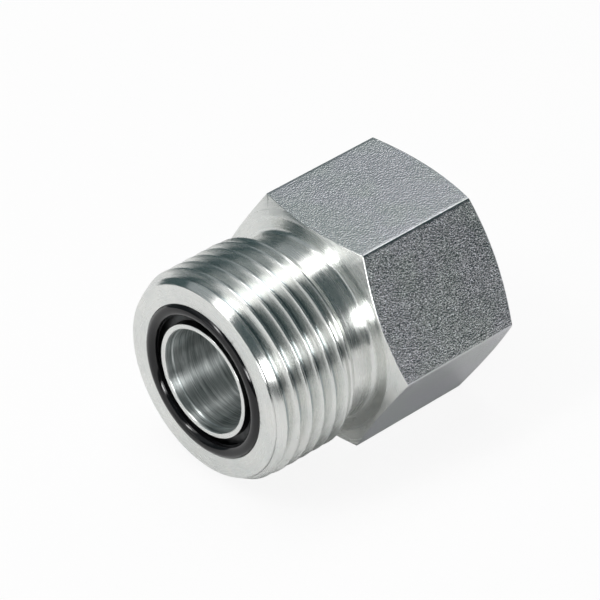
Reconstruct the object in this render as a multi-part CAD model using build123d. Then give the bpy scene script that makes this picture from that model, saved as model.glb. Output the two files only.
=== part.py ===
from build123d import *
import math
import os

# Face seal fitting: a straight adapter turned in one piece from hexagon bar, with a
# male face seal nose at one end and a female parallel port inside the other, and the
# O-ring that the groove in the nose's end face holds.
# It lies on a flat of its hexagon. The origin is the centre of the nose's sealing face,
# +X runs along the bore towards the port, and +Z is up. Sizes are in millimetres.

# Nose: 1 3/16-12 UN thread, with a lead-in chamfer at the sealing face and a relief
# against the shoulder, whose two sides slope alike. Angles are measured from the axis.
nose_thread_diameter = 30.1625
nose_length = 18.4
lead_in_height = 1.18
lead_in_angle = 30.0
relief_width = 5.5
relief_depth = 1.73
relief_side_angle = 45.0
shoulder_ramp_height = 0.8

# Hexagon bar: this much wider across its flats than the thread, which makes 32 mm. Its two
# end faces are flat out to a circle just inside the flats, and the corners slope back
# beyond it at this angle from the face. The tool runs out clear of the corners.
hex_over_thread = 1.8375
hex_edge_radius = 0.3
hex_face_margin = 0.8
corner_slope_angle = 22.0
overall_length = 40.0
turning_run_out = 1.0

# O-ring, and the captive groove that it snaps into: the outer wall leans over the ring,
# so that the mouth is narrower than the ring and keeps it in when the fitting is handled
ring_bore = 18.77
ring_section = 1.78
ring_clearance = 0.02
ring_to_land = 1.16
groove_depth = 1.3
groove_wall_lean = 15.0

# Flow bore inside the groove's land, stepped just inside its mouth
land_width = 0.725
mouth_depth = 1.2
mouth_step = 0.15
bore_edge_break = 0.12

# Female port: G 1/2 parallel thread at its tapping size, with the drill's point below it
port_thread_diameter = 20.955
port_thread_height = 1.162
port_depth = 16.0
port_drill_point_angle = 118.0
port_chamfer_proud = 0.35

# What follows from these
hex_width = nose_thread_diameter + hex_over_thread
land_r = ring_bore / 2 - ring_to_land
mouth_r = land_r - land_width
bore_r = mouth_r - mouth_step


def tan(degrees):
    return math.tan(math.radians(degrees))


def cos(degrees):
    return math.cos(math.radians(degrees))


def turned(*outline):
    """Solid of revolution about the fitting's axis, from an outline in X and radius."""
    return revolve(make_face(Polyline(*outline, close=True)), Axis.X)


def hexagon_bar():
    """Bar stock with its drawn, slightly round edges, flats at top and bottom."""
    section = RegularPolygon(hex_width / 2, 6, major_radius=False)
    section = fillet(section.vertices(), hex_edge_radius)
    return extrude(Plane.YZ * section, overall_length)


def turned_outside():
    """Everything that the lathe leaves outside: nose, thread, relief, shoulder, corner slopes."""
    thread_r = nose_thread_diameter / 2
    face_r = thread_r - lead_in_height
    relief_r = thread_r - relief_depth
    hex_face_r = (hex_width - hex_face_margin) / 2
    beyond_corners_r = hex_width / 2 / cos(30) + turning_run_out

    lead_in_length = lead_in_height / tan(lead_in_angle)
    thread_end = nose_length - relief_width
    run_out_length = relief_depth / tan(relief_side_angle)
    ramp_length = shoulder_ramp_height / tan(relief_side_angle)
    slope_length = (beyond_corners_r - hex_face_r) * tan(corner_slope_angle)

    return turned(
        (0, 0),
        (0, face_r),
        (lead_in_length, thread_r),
        (thread_end, thread_r),
        (thread_end + run_out_length, relief_r),
        (nose_length - ramp_length, relief_r),
        (nose_length, relief_r + shoulder_ramp_height),
        (nose_length, hex_face_r),
        (nose_length + slope_length, beyond_corners_r),
        (overall_length - slope_length, beyond_corners_r),
        (overall_length, hex_face_r),
        (overall_length, 0),
    )


def ring_centre():
    """Centre of the O-ring's section in X and radius, lying on the groove's floor."""
    return groove_depth - ring_clearance - ring_section / 2, (ring_bore + ring_section) / 2


def captive_groove():
    """Half-dovetail groove: straight land inside, and an outer wall tangent to the ring."""
    centre_x, centre_r = ring_centre()
    wall_offset = (ring_section / 2 + ring_clearance) / cos(groove_wall_lean)
    groove_mouth_r = centre_r + wall_offset - centre_x * tan(groove_wall_lean)
    groove_floor_r = groove_mouth_r + groove_depth * tan(groove_wall_lean)

    return turned(
        (0, land_r),
        (groove_depth, land_r),
        (groove_depth, groove_floor_r),
        (0, groove_mouth_r),
    )


def flow_passage():
    """Stepped mouth, through bore, drill point, tapped port and the port's chamfer."""
    tapping_r = port_thread_diameter / 2 - port_thread_height
    chamfer_r = port_thread_diameter / 2 + port_chamfer_proud

    port_floor = overall_length - port_depth
    point_length = (tapping_r - bore_r) / tan(port_drill_point_angle / 2)
    chamfer_length = chamfer_r - tapping_r

    return turned(
        (0, 0),
        (0, mouth_r + bore_edge_break),
        (bore_edge_break, mouth_r),
        (mouth_depth, mouth_r),
        (mouth_depth + mouth_step, bore_r),
        (port_floor - point_length, bore_r),
        (port_floor, tapping_r),
        (overall_length - chamfer_length, tapping_r),
        (overall_length, chamfer_r),
        (overall_length, 0),
    )


def make_fitting_body():
    return (hexagon_bar() & turned_outside()) - captive_groove() - flow_passage()


def make_o_ring():
    """Rubber ring at its free size, resting on the floor and against the leaning wall."""
    section = Pos(*ring_centre()) * Circle(ring_section / 2)
    return revolve(section, Axis.X)


os.makedirs("parts", exist_ok=True)
export_step(make_fitting_body(), "parts/fitting_body.step")
export_step(make_o_ring(), "parts/o_ring.step")
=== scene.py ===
import math

import bmesh
import bpy
import numpy as np
from mathutils import Matrix, Vector


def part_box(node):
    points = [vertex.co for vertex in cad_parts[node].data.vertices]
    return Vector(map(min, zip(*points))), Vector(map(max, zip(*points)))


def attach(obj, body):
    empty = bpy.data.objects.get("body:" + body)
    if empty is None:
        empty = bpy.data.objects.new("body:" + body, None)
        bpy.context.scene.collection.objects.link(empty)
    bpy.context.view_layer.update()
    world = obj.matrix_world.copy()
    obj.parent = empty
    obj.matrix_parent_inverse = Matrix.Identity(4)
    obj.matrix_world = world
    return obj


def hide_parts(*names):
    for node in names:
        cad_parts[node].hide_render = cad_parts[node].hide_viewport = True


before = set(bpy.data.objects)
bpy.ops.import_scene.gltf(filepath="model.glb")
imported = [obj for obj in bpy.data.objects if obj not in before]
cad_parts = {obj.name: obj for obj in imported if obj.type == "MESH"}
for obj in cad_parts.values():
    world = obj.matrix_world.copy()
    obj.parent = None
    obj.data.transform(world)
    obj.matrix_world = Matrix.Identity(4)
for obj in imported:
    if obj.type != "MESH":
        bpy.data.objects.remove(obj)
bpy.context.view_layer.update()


# Camera
# A long lens looks down on the nose from its left, so that the bore, the thread and
# three sides of the hexagon show. It aims at a point on the axis inside the nose.
mm = 0.001
aim = Vector((16.0, 0.0, 0.0)) * mm
look_azimuth = math.radians(-43.39)
look_elevation = math.radians(37.81)
look_roll = math.radians(1.18)
camera_distance = 531.3 * mm
aim_right_of_middle = -0.99 * mm
aim_above_middle = -4.18 * mm

toward_camera = Vector((
    math.sin(look_azimuth) * math.cos(look_elevation),
    -math.cos(look_azimuth) * math.cos(look_elevation),
    math.sin(look_elevation),
))
level_right = Vector((math.cos(look_azimuth), math.sin(look_azimuth), 0.0))
level_up = toward_camera.cross(level_right)
right = math.cos(look_roll) * level_right + math.sin(look_roll) * level_up
up = math.cos(look_roll) * level_up - math.sin(look_roll) * level_right

camera = bpy.data.objects.new("camera", bpy.data.cameras.new("camera"))
camera.data.lens = 240.0
camera.data.sensor_width = 36.0
camera.data.clip_start = 0.01
camera.data.clip_end = 100.0
camera.rotation_mode = "QUATERNION"
camera.rotation_quaternion = Matrix((right, up, toward_camera)).transposed().to_quaternion()
camera.location = (
    aim + camera_distance * toward_camera - aim_right_of_middle * right - aim_above_middle * up
)
bpy.context.collection.objects.link(camera)
bpy.context.scene.camera = camera


# Fitting body
# One piece of steel, turned and threaded from drawn hexagon bar and plated with bright
# zinc. The nose, the threads and the bore keep the marks of the tool, and the flats keep
# the grain of the bar.
body_low, body_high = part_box("fitting_body")
overall_length = body_high.x - body_low.x
hex_width = body_high.z - body_low.z
hex_edge_radius = 0.3 * mm
hex_face_r = hex_width / 2 - 0.4 * mm
corner_slope = math.tan(math.radians(22.0))

nose_length = 18.4 * mm
nose_face_r = 13.9 * mm
nose_thread_r = 15.08125 * mm
nose_thread_pitch = 25.4 * mm / 12
nose_thread_depth = 1.298 * mm
nose_thread_first = 0.3 * mm
nose_thread_end = 12.9 * mm
nose_thread_start_fade = 0.9 * mm
nose_crest_at = 0.24 * mm
lead_in_slope = math.tan(math.radians(30.0))
relief_r = 13.35 * mm
shoulder_fillet = 0.8 * mm

groove_depth = 1.3 * mm
groove_mouth_r = 11.113 * mm
groove_floor_r = 11.461 * mm
land_r = 8.225 * mm
mouth_r = 7.5 * mm
mouth_depth = 1.2 * mm
bore_r = 7.35 * mm
bore_edge_break = 0.12 * mm

port_floor = overall_length - 16.0 * mm
port_point = 22.819 * mm
port_tapping_r = 9.3155 * mm
port_thread_r = 10.4775 * mm
port_thread_pitch = 25.4 * mm / 14
port_thread_last = port_floor + 2.5 * mm
port_thread_mouth = overall_length - 0.15 * mm
port_crest_at = 0.6 * mm
port_chamfer_r = port_thread_r + 0.35 * mm


def column_angles():
    """Angles round the axis: even steps, and close ones round each edge of the hexagon."""
    even_step = 1.5
    at_edges = np.radians([-0.56, -0.47, -0.31, -0.16, 0.0, 0.16, 0.31, 0.47, 0.56])
    sector = np.concatenate([at_edges, np.radians(np.arange(even_step, 59.0, even_step))])
    sectors = [sector + np.radians(60.0) * k for k in range(6)]
    return np.concatenate(sectors + [[2 * np.pi + at_edges[0]]])


def hexagon_radius(angle):
    """Distance from the axis to the hexagon's outline, with its round edges."""
    apothem = hex_width / 2
    half_side = math.radians(30.0)
    from_corner = np.abs((angle + half_side) % (2 * half_side) - half_side)
    flat = apothem / np.cos(half_side - from_corner)
    centre = (apothem - hex_edge_radius) / math.cos(half_side)
    inside = np.maximum(hex_edge_radius**2 - (centre * np.sin(from_corner)) ** 2, 0.0)
    rounded = centre * np.cos(from_corner) + np.sqrt(inside)
    flat_ends = math.atan((apothem - hex_edge_radius) * math.tan(half_side) / apothem)
    return np.where(from_corner < half_side - flat_ends, rounded, flat)


def rounded_corner(before, corner, after, size, steps):
    """Rows of points that round one corner of an outline, from its two neighbours."""
    into = (before - corner) / np.linalg.norm(before - corner, axis=0)
    out = (after - corner) / np.linalg.norm(after - corner, axis=0)
    start, end = corner + into * size, corner + out * size
    share = np.linspace(0.0, 1.0, steps + 1)
    return [(1 - s) ** 2 * start + 2 * s * (1 - s) * corner + s**2 * end for s in share]


def outline_rows(angles, corners, steps=3):
    """Rows along an open outline of (x, radius, rounding), each a value or one per column."""
    points = [np.array([x + 0 * angles, r + 0 * angles]) for x, r, rounding in corners]
    roundings = [rounding for x, r, rounding in corners]
    rows = [points[0]]
    for before, corner, after, rounding in zip(points, points[1:], points[2:], roundings[1:]):
        rows += rounded_corner(before, corner, after, rounding, steps) if rounding else [corner]
    return rows + [points[-1]]


def thread_outline(pitch, depth, crest_flat, root_flat, crest_round, root_round, steps, on_flank):
    """One pitch of a thread from root to root: places along it and heights above the root."""
    root_middle = np.array([0.0, 0.0])
    root_corner = np.array([root_flat / 2, 0.0])
    crest_corner = np.array([(pitch - crest_flat) / 2, depth])
    crest_middle = np.array([pitch / 2, depth])
    up_flank = np.linspace(0, 1, on_flank + 2)[1:-1]
    rising = [root_middle]
    rising += rounded_corner(root_middle, root_corner, crest_corner, root_round, steps)
    rising += [root_corner + s * (crest_corner - root_corner) for s in up_flank]
    rising += rounded_corner(root_corner, crest_corner, crest_middle, crest_round, steps)
    rising.append(crest_middle)
    falling = [np.array([pitch - x, height]) for x, height in reversed(rising[1:-1])]
    return np.array(rising + falling).T


def helical_rows(angles, start, end, pitch, crest_at, outline, radius_at):
    """Rows that follow a right-hand thread from one plane to another and close up on both."""
    places, heights = outline
    whole_pitch, whole_heights = np.append(places, pitch), np.append(heights, 0.0)
    advance = crest_at - pitch / 2 + pitch * angles / (2 * np.pi)
    first = math.floor((start - crest_at) / pitch) - 2
    last = math.ceil((end - crest_at) / pitch) + 1
    sliver = 0.02 * mm
    rows = []
    for turn in range(first, last):
        for place in places:
            x = turn * pitch + place + advance
            x = np.where(x < start + sliver, start, np.where(x > end - sliver, end, x))
            height = np.interp((x - advance) % pitch, whole_pitch, whole_heights)
            rows.append(np.array([x, radius_at(x, height)]))
    return rows


def nose_radius(x, height):
    """Surface of the nose's thread between its lead-in chamfer and its run-out."""
    lead_in = nose_face_r + x * lead_in_slope
    run_out = nose_thread_r - (x - nose_thread_end)
    blank = np.minimum(np.minimum(lead_in, run_out), nose_thread_r)
    cut = np.maximum(blank - (nose_thread_r - nose_thread_depth + height), 0.0)
    starts_in = np.clip(x / nose_thread_start_fade, 0.0, 1.0)
    return np.maximum(blank - cut * starts_in, relief_r)


def port_radius(x, height):
    """Surface of the port's thread from the tap's last turn to the port's chamfer."""
    fade = np.clip((x - port_thread_last) / port_thread_pitch, 0.0, 1.0)
    cut = (port_thread_r - port_tapping_r - height) * fade
    return np.maximum(port_tapping_r + cut, port_chamfer_r - (overall_length - x))


def body_rows(angles):
    """The closed outline: relief, hexagon, port, bore, groove and end face, nose's thread."""
    hexagon_r = hexagon_radius(angles)
    slope_length = (hexagon_r - hex_face_r) * corner_slope
    relief_start = nose_thread_end + nose_thread_r - relief_r + 0.1 * mm
    crisp, plain_edge, rim = 0.05 * mm, 0.1 * mm, 0.08 * mm
    land_edge, nose_edge, groove_corner = 0.06 * mm, 0.12 * mm, 0.15 * mm

    outside = outline_rows(angles, [
        (relief_start, relief_r, 0),
        (nose_length, relief_r, shoulder_fillet),
        (nose_length, hex_face_r, plain_edge),
        (nose_length + slope_length, hexagon_r, plain_edge),
        (overall_length - slope_length, hexagon_r, plain_edge),
        (overall_length, hex_face_r, plain_edge),
        (overall_length, port_chamfer_r, rim),
        (port_thread_mouth, port_chamfer_r - (overall_length - port_thread_mouth), 0),
    ])
    port_thread = helical_rows(
        angles, port_thread_last, port_thread_mouth, port_thread_pitch, port_crest_at,
        thread_outline(port_thread_pitch, port_thread_r - port_tapping_r,
                       crest_flat=0.3 * mm, root_flat=0.3 * mm,
                       crest_round=0.1 * mm, root_round=0.12 * mm, steps=1, on_flank=1),
        port_radius,
    )
    inside = outline_rows(angles, [
        (port_thread_last, port_tapping_r, 0),
        (port_floor, port_tapping_r, plain_edge),
        (port_point, bore_r, crisp),
        (mouth_depth + mouth_r - bore_r, bore_r, plain_edge),
        (mouth_depth, mouth_r, plain_edge),
        (bore_edge_break, mouth_r, crisp),
        (0.0, mouth_r + bore_edge_break, crisp),
        (0.0, land_r, land_edge),
        (groove_depth, land_r, groove_corner),
        (groove_depth, groove_floor_r, groove_corner),
        (0.0, groove_mouth_r, rim),
        (0.0, nose_face_r, nose_edge),
        (nose_thread_first, nose_face_r + nose_thread_first * lead_in_slope, 0),
    ])
    nose_thread = helical_rows(
        angles, nose_thread_first, relief_start, nose_thread_pitch, nose_crest_at,
        thread_outline(nose_thread_pitch, nose_thread_depth,
                       crest_flat=0.26 * mm, root_flat=0.36 * mm,
                       crest_round=0.06 * mm, root_round=0.17 * mm, steps=3, on_flank=3),
        nose_radius,
    )
    return outside + port_thread[::-1] + inside + nose_thread


def closed_mesh(name, rows, angles):
    """A closed skin of quads from rows of (x, radius) round the axis, each joined to the next."""
    x, r = np.array(rows).transpose(1, 0, 2)
    points = np.stack([x, r * np.cos(angles), r * np.sin(angles)], axis=-1)
    columns = len(angles)
    faces = []
    for row in range(len(rows)):
        here, after = row * columns, (row + 1) % len(rows) * columns
        for k in range(columns - 1):
            faces.append((here + k, here + k + 1, after + k + 1, after + k))
    mesh = bpy.data.meshes.new(name)
    mesh.from_pydata(points.reshape(-1, 3), [], faces)
    skin = bmesh.new()
    skin.from_mesh(mesh)
    bmesh.ops.remove_doubles(skin, verts=skin.verts, dist=0.0005 * mm)
    bmesh.ops.recalc_face_normals(skin, faces=skin.faces)
    for face in skin.faces:
        face.smooth = True
    skin.to_mesh(mesh)
    skin.free()
    piece = bpy.data.objects.new(name, mesh)
    bpy.context.collection.objects.link(piece)
    normals = piece.modifiers.new("flat faces stay flat", "WEIGHTED_NORMAL")
    normals.weight = 50
    return piece


def add_node(tree, kind, inputs=None, **settings):
    """One shader node, with its inputs given as values or as other nodes' outputs."""
    node = tree.nodes.new(kind)
    for name, value in settings.items():
        setattr(node, name, value)
    for name, value in (inputs or {}).items():
        if isinstance(value, bpy.types.NodeSocket):
            tree.links.new(value, node.inputs[name])
        else:
            node.inputs[name].default_value = value
    return node


def new_surface(name):
    """An empty material: its node tree, and its object coordinates in millimetres."""
    material = bpy.data.materials.new(name)
    material.use_nodes = True
    tree = material.node_tree
    tree.nodes.clear()
    place = add_node(tree, "ShaderNodeTexCoord").outputs["Object"]
    in_mm = add_node(tree, "ShaderNodeVectorMath", {0: place, "Scale": 1 / mm}, operation="SCALE")
    return material, tree, in_mm.outputs["Vector"]


def calculate(tree, operation, *values):
    """One sum on numbers or on other nodes' outputs."""
    return add_node(tree, "ShaderNodeMath", dict(enumerate(values)), operation=operation).outputs[0]


def round_parts(tree, in_mm):
    """A place as its distance along the axis, its place across it and its radius."""
    parts = add_node(tree, "ShaderNodeSeparateXYZ", {0: in_mm}).outputs
    across = add_node(tree, "ShaderNodeCombineXYZ", {"Y": parts["Y"], "Z": parts["Z"]}).outputs[0]
    radius = add_node(tree, "ShaderNodeVectorMath", {0: across}, operation="LENGTH")
    return parts["X"], across, radius.outputs["Value"]


def noise(tree, place, scale, detail, roughness=0.5):
    """Cloudy noise from 0 to 1, its largest clouds one over the scale in millimetres across."""
    return add_node(tree, "ShaderNodeTexNoise", {
        "Vector": place, "Scale": scale, "Detail": detail, "Roughness": roughness,
    }).outputs["Fac"]


def tool_marks(tree, in_mm, fineness, drift):
    """Noise drawn out round the axis, as a tool's feed marks are: fine along it and across."""
    along, across, radius = round_parts(tree, in_mm)
    turned = add_node(tree, "ShaderNodeVectorMath", {0: across, "Scale": drift}, operation="SCALE")
    slow = add_node(tree, "ShaderNodeSeparateXYZ", {0: turned.outputs["Vector"]}).outputs
    where = add_node(tree, "ShaderNodeCombineXYZ", {
        "X": calculate(tree, "MULTIPLY", along, fineness), "Y": slow["Y"], "Z": slow["Z"],
    }).outputs[0]
    return add_node(tree, "ShaderNodeTexNoise", {
        "Vector": where, "W": calculate(tree, "MULTIPLY", radius, fineness),
        "Scale": 1.0, "Detail": 2.0, "Roughness": 0.6,
    }, noise_dimensions="4D").outputs["Fac"]


def between(tree, amount, low, high, from_low=0.3, from_high=0.7):
    """A value from low to high as an amount goes over its range."""
    return add_node(tree, "ShaderNodeMapRange", {
        "Value": amount, "From Min": from_low, "From Max": from_high,
        "To Min": low, "To Max": high,
    }).outputs["Result"]


def mixed(tree, amount, first, second):
    """A colour between two, each given with its alpha or as a node's output."""
    return add_node(tree, "ShaderNodeMix", {"Factor": amount, "A": first, "B": second},
                    data_type="RGBA").outputs["Result"]


def tint(tree, amount, dark, light):
    """A colour between two, by an amount from 0 to 1."""
    return mixed(tree, amount, (*dark, 1), (*light, 1))


def bump(tree, height, strength, distance, **under):
    """A normal that a height tilts, over another one where that is given."""
    return add_node(tree, "ShaderNodeBump", {
        "Height": height, "Strength": strength, "Distance": distance, **under,
    }).outputs["Normal"]


def round_tangent(tree):
    """The direction round the axis, in which turned metal is brushed."""
    return add_node(tree, "ShaderNodeTangent", direction_type="RADIAL", axis="X").outputs[0]


def finish_surface(tree, inputs):
    """The shader that a surface ends in, and the material's output."""
    shader = add_node(tree, "ShaderNodeBsdfPrincipled", inputs)
    add_node(tree, "ShaderNodeOutputMaterial", {"Surface": shader.outputs["BSDF"]})


def turned_plate():
    """Turned steel under bright zinc: shiny round the part, spread along it by the feed marks.

    The roots of the nose's thread are painted dark: the zinc is thinner there, and the darkness is
    painted shade."""
    material, tree, in_mm = new_surface("turned zinc plate")
    fine = tool_marks(tree, in_mm, 9.0, 0.10)
    coarse = tool_marks(tree, in_mm, 2.2, 0.16)
    cloud = noise(tree, in_mm, 0.25, 3.0)
    clean = tint(tree, between(tree, cloud, 0, 1), (0.715, 0.735, 0.72), (0.80, 0.805, 0.78))

    along, across, radius = round_parts(tree, in_mm)
    # Painted shade: a dark teal is mixed into the roots of the nose's thread, where shade falls.
    root_r = (nose_thread_r - nose_thread_depth) / mm
    first, end = nose_thread_first / mm, nose_thread_end / mm
    root_shade = between(tree, radius, 0.75, 0.0, root_r + 0.03, root_r + 0.22)
    before_relief = between(tree, along, 1.0, 0.0, end - 0.7, end)
    behind_face = between(tree, along, 0.0, 1.0, first, first + 0.2)
    on_thread = calculate(tree, "MULTIPLY", before_relief, behind_face)
    painted_root_shade = calculate(tree, "MULTIPLY", root_shade, on_thread)

    feed_marks = bump(tree, fine, 0.6, 0.006 * mm)
    finish_surface(tree, {
        # Base colour: the clean plate, darkened in the thread's roots by painted shade.
        "Base Color": mixed(tree, painted_root_shade, clean, (0.20, 0.25, 0.26, 1)),
        "Metallic": 1.0,
        "Roughness": between(tree, coarse, 0.21, 0.32),
        "Anisotropic": 0.8,
        "Anisotropic Rotation": 0.25,
        "Tangent": round_tangent(tree),
        "Normal": bump(tree, coarse, 0.5, 0.012 * mm, Normal=feed_marks),
    })
    return material


def drawn_bar():
    """The bar's own skin on the flats: a coarse sparkling grain, rubbed smooth along the edges."""
    material, tree, in_mm = new_surface("drawn bar zinc plate")
    along, across, radius = round_parts(tree, in_mm)
    corner_r = hex_width / 2 / math.cos(math.radians(30.0)) / mm
    rubbed = between(tree, radius, 0.0, 1.0, corner_r - 0.22, corner_r - 0.06)
    depth_left = between(tree, rubbed, 1.0, 0.35, 0.0, 1.0)

    grain = noise(tree, in_mm, 4.8, 1.5, roughness=0.55)
    drawn_out = add_node(tree, "ShaderNodeVectorMath", {0: in_mm, 1: (0.25, 1.6, 1.6)},
                         operation="MULTIPLY").outputs["Vector"]
    streaks = noise(tree, drawn_out, 1.0, 3.0)
    patches = noise(tree, in_mm, 0.13, 2.0)
    pits = bump(tree, calculate(tree, "MULTIPLY", grain, depth_left), 1.0, 0.09 * mm)
    finish_surface(tree, {
        "Base Color": tint(tree, between(tree, patches, 0.0, 1.0, 0.42, 0.58),
                           (0.595, 0.62, 0.615), (0.615, 0.62, 0.645)),
        "Metallic": 1.0,
        "Roughness": between(tree, streaks, 0.17, 0.27),
        "Normal": bump(tree, streaks, 1.0, 0.02 * mm, Normal=pits),
    })
    return material


def drilled_bore():
    """The drilled bore, brushed round by the drill and duller than the outside."""
    material, tree, in_mm = new_surface("drilled zinc plate")
    fine = tool_marks(tree, in_mm, 5.0, 0.25)
    coarse = tool_marks(tree, in_mm, 1.6, 0.35)
    finish_surface(tree, {
        "Base Color": tint(tree, between(tree, fine, 0, 1), (0.25, 0.28, 0.28), (0.72, 0.75, 0.74)),
        "Metallic": 1.0,
        "Roughness": between(tree, coarse, 0.34, 0.48),
        "Anisotropic": 0.9,
        "Anisotropic Rotation": 0.25,
        "Tangent": round_tangent(tree),
        "Normal": bump(tree, fine, 1.0, 0.03 * mm),
    })
    return material


def shaded_groove_paint():
    """The groove's walls and floor round the ring, painted near black: painted shade."""
    material, tree, in_mm = new_surface("painted shade groove")
    groove_mottle = noise(tree, in_mm, 0.8, 3.0)
    finish_surface(tree, {
        # Painted shade: the groove's plate gets a near-black colour where shade falls round the
        # ring.
        "Base Color": tint(tree, between(tree, groove_mottle, 0, 1),
                           (0.035, 0.037, 0.038), (0.08, 0.083, 0.084)),
        "Metallic": 1.0,
        "Roughness": between(tree, groove_mottle, 0.30, 0.45),
    })
    return material


angles = column_angles()
body = closed_mesh("turned_body", body_rows(angles), angles)
for finish in (turned_plate(), drawn_bar(), drilled_bore(), shaded_groove_paint()):
    body.data.materials.append(finish)
on_bar, in_bore, in_shaded_groove = 1, 2, 3
steepest_flat = 0.35
clear_of_edge = 0.1 * mm
for face in body.data.polygons:
    middle_r = math.hypot(face.center.y, face.center.z)
    if middle_r > hex_face_r and abs(face.normal.x) < steepest_flat:
        face.material_index = on_bar
    elif middle_r < land_r - clear_of_edge and face.center.x > bore_edge_break:
        face.material_index = in_bore
    elif middle_r < groove_floor_r and 0 < face.center.x - clear_of_edge < groove_depth:
        face.material_index = in_shaded_groove
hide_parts("fitting_body")
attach(body, "root")


# O-ring
# A moulded ring of black nitrile rubber. It is snapped into the groove in the nose's end
# face, where the leaning outer wall holds it, and it stands half a millimetre proud.
ring_low, ring_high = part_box("o_ring")
ring_section_r = (ring_high.x - ring_low.x) / 2
ring_centre_x = (ring_high.x + ring_low.x) / 2
ring_centre_r = ring_high.z - ring_section_r
ring_columns = 240
ring_rows_round = 32


def black_rubber():
    """Smooth rubber, slightly oily, with a faint haze on its skin."""
    material, tree, in_mm = new_surface("black rubber")
    haze = noise(tree, in_mm, 1.2, 5.0)
    skin = noise(tree, in_mm, 9.0, 2.0)
    finish_surface(tree, {
        "Base Color": tint(tree, between(tree, haze, 0, 1),
                           (0.004, 0.004, 0.005), (0.009, 0.009, 0.010)),
        "Roughness": between(tree, haze, 0.07, 0.12),
        "IOR": 1.46,
        "Normal": bump(tree, skin, 0.25, 0.01 * mm),
    })
    return material


ring_angles = np.linspace(0.0, 2 * np.pi, ring_columns + 1)
ring_rows = [
    np.array([ring_centre_x + ring_section_r * np.sin(a) + 0 * ring_angles,
              ring_centre_r + ring_section_r * np.cos(a) + 0 * ring_angles])
    for a in np.linspace(0.0, 2 * np.pi, ring_rows_round, endpoint=False)
]
ring = closed_mesh("rubber_ring", ring_rows, ring_angles)
ring.data.materials.append(black_rubber())
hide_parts("o_ring")
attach(ring, "root")


# Floor
# A sheet of white paper that runs out of sight on every side. It is lit until it is all
# but plain white, with the part's own shadow left on it.
floor_half_size = 6.0
floor_mesh = bpy.data.meshes.new("floor")
floor_mesh.from_pydata(
    [(x * floor_half_size, y * floor_half_size, body_low.z)
     for x, y in ((-1, -1), (1, -1), (1, 1), (-1, 1))],
    [], [(0, 1, 2, 3)],
)
floor = bpy.data.objects.new("floor", floor_mesh)
bpy.context.collection.objects.link(floor)

paper, paper_tree, paper_mm = new_surface("white paper")
paper_shader = add_node(paper_tree, "ShaderNodeBsdfPrincipled", {
    "Base Color": tint(paper_tree, noise(paper_tree, paper_mm, 0.5, 4.0),
                       (0.93, 0.93, 0.93), (0.95, 0.95, 0.95)),
    "Roughness": 0.9,
    "Specular IOR Level": 0.0,
})
plain_white = add_node(paper_tree, "ShaderNodeEmission", {"Color": (1, 1, 1, 1), "Strength": 1.0})
ray = add_node(paper_tree, "ShaderNodeLightPath").outputs
mirrored = calculate(paper_tree, "MAXIMUM", ray["Is Glossy Ray"], ray["Is Transmission Ray"])
washed_out = calculate(paper_tree, "MULTIPLY_ADD", ray["Is Camera Ray"], 0.9,
                       calculate(paper_tree, "MULTIPLY", mirrored, 0.05))
paper_look = add_node(paper_tree, "ShaderNodeMixShader", {
    0: washed_out, 1: paper_shader.outputs["BSDF"], 2: plain_white.outputs["Emission"],
})
add_node(paper_tree, "ShaderNodeOutputMaterial", {"Surface": paper_look.outputs["Shader"]})
floor_mesh.materials.append(paper)


# Studio
# Two long soft boxes lie along the part, each with a brighter lamp by the nose, and a wide light
# hangs above for the paper. Dark cards stand round it out of the picture, so that the bright metal
# has something dark to show between them; they are no lamps, but glow with a set dim colour in
# place of being lit, as painted light seen only in the metal. Beyond is a white room.
# Painted light: the set glow colours of the dark cards.
teal_card_glow = (0.055, 0.085, 0.09)
grey_card_glow = (0.078, 0.086, 0.089)
far_ends = [(0.9, -1.2), (0.9, 1.2)]
near_ends = [(0.22, -1.2), (0.22, 1.2)]
disc_ends = [(0.01, 0.6), (0.42, 0.6)]


def round_the_axis(lean, distance, x):
    """A place at an angle from straight up round the part's axis, leaning to +Y."""
    lean = math.radians(lean)
    return Vector((x, distance * math.sin(lean), distance * math.cos(lean)))


def soft_box(name, lean, distance, width, from_x, to_x, brightness):
    """An area lamp of an even brightness that lies along the part and faces it.

    Its lean is in degrees, and its distance, width and ends along the part in metres."""
    light = bpy.data.lights.new(name, "AREA")
    light.shape = "RECTANGLE"
    light.size = width
    light.size_y = to_x - from_x
    light.energy = brightness * math.pi * light.size * light.size_y
    lamp = bpy.data.objects.new(name, light)
    lamp.location = round_the_axis(lean, distance, (from_x + to_x) / 2)
    away = round_the_axis(lean, 1.0, 0.0)
    across = round_the_axis(lean + 90.0, 1.0, 0.0)
    facing = Matrix((across, away.cross(across), away)).transposed()
    lamp.rotation_mode = "QUATERNION"
    lamp.rotation_quaternion = facing.to_quaternion()
    bpy.context.collection.objects.link(lamp)
    return lamp


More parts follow.
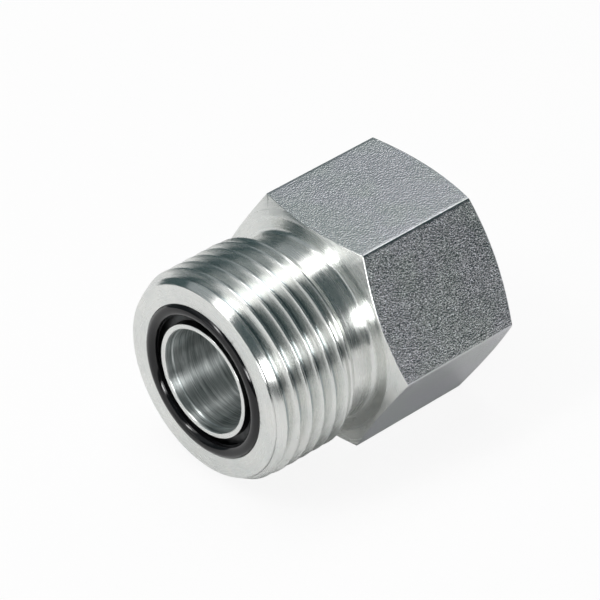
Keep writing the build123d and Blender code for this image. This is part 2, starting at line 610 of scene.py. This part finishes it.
def dark_card(name, leans, ends, strength, card_glow_colour=teal_card_glow):
    """A dark card bent round the axis through some leans, seen only in the metal. It is no lamp,
    but glows with a set colour and strength: painted light.

    Its two ends are each a distance from the axis and a place along it."""
    corners = [round_the_axis(lean, distance, x) for lean in leans for distance, x in ends]
    strips = [(2 * k, 2 * k + 1, 2 * k + 3, 2 * k + 2) for k in range(len(leans) - 1)]
    card_mesh = bpy.data.meshes.new(name)
    card_mesh.from_pydata(corners, [], strips)
    card = bpy.data.objects.new(name, card_mesh)
    bpy.context.collection.objects.link(card)
    card_glow_paint, card_glow_tree, card_glow_mm = new_surface(name + " felt")
    # Painted light: the card glows with a set colour and strength, in place of being lit.
    shade = add_node(card_glow_tree, "ShaderNodeEmission",
                     {"Color": (*card_glow_colour, 1), "Strength": strength})
    add_node(card_glow_tree, "ShaderNodeOutputMaterial", {"Surface": shade.outputs["Emission"]})
    card_mesh.materials.append(card_glow_paint)
    card.visible_camera = False
    card.visible_diffuse = False
    card.visible_shadow = False


soft_box("upper_box", 14, 0.70, width=0.23, from_x=-0.9, to_x=0.9, brightness=1.35)
soft_box("upper_lamp", 14, 0.68, width=0.11, from_x=-0.70, to_x=-0.36, brightness=13.0)
front_box = soft_box("front_box", -64, 0.70, width=0.22, from_x=-0.9, to_x=0.18, brightness=3.9)
front_lamp = soft_box("front_lamp", -66, 0.68, width=0.16, from_x=-0.70, to_x=-0.36,
                      brightness=14.0)
ceiling_light = soft_box("ceiling_light", 12, 1.2, width=1.1, from_x=-1.1, to_x=0.5,
                         brightness=1.8)
front_box.visible_diffuse = front_lamp.visible_diffuse = False
ceiling_light.visible_glossy = False

dark_card("rear_card", [26, 40, 60], far_ends, 4.2, grey_card_glow)
dark_card("far_card", [60, 75, 92], far_ends, 1.1)
dark_card("rear_low_card", [80, 94.5], near_ends, 1.0)
dark_card("roof_card", [2, -15, -30, -48], far_ends, 0.9)
dark_card("front_card", [-48, -60, -80], far_ends, 0.5)
dark_card("low_card", [-78, -94.5], near_ends, 0.4)
dark_card("end_card", range(0, 361, 45), disc_ends, 1.0)

room = bpy.data.worlds.new("white room")
room.use_nodes = True
room_tree = room.node_tree
room_tree.nodes.clear()
ray = add_node(room_tree, "ShaderNodeLightPath").outputs
seen = calculate(room_tree, "MAXIMUM", ray["Is Camera Ray"], ray["Is Glossy Ray"])
seen = calculate(room_tree, "MAXIMUM", seen, ray["Is Transmission Ray"])
sky = add_node(room_tree, "ShaderNodeBackground", {
    "Color": (1.0, 1.0, 1.0, 1.0),
    "Strength": between(room_tree, seen, 0.12, 1.0, 0.0, 1.0),
})
add_node(room_tree, "ShaderNodeOutputWorld", {"Surface": sky.outputs["Background"]})
bpy.context.scene.world = room
bpy.context.scene.view_settings.view_transform = "Standard"
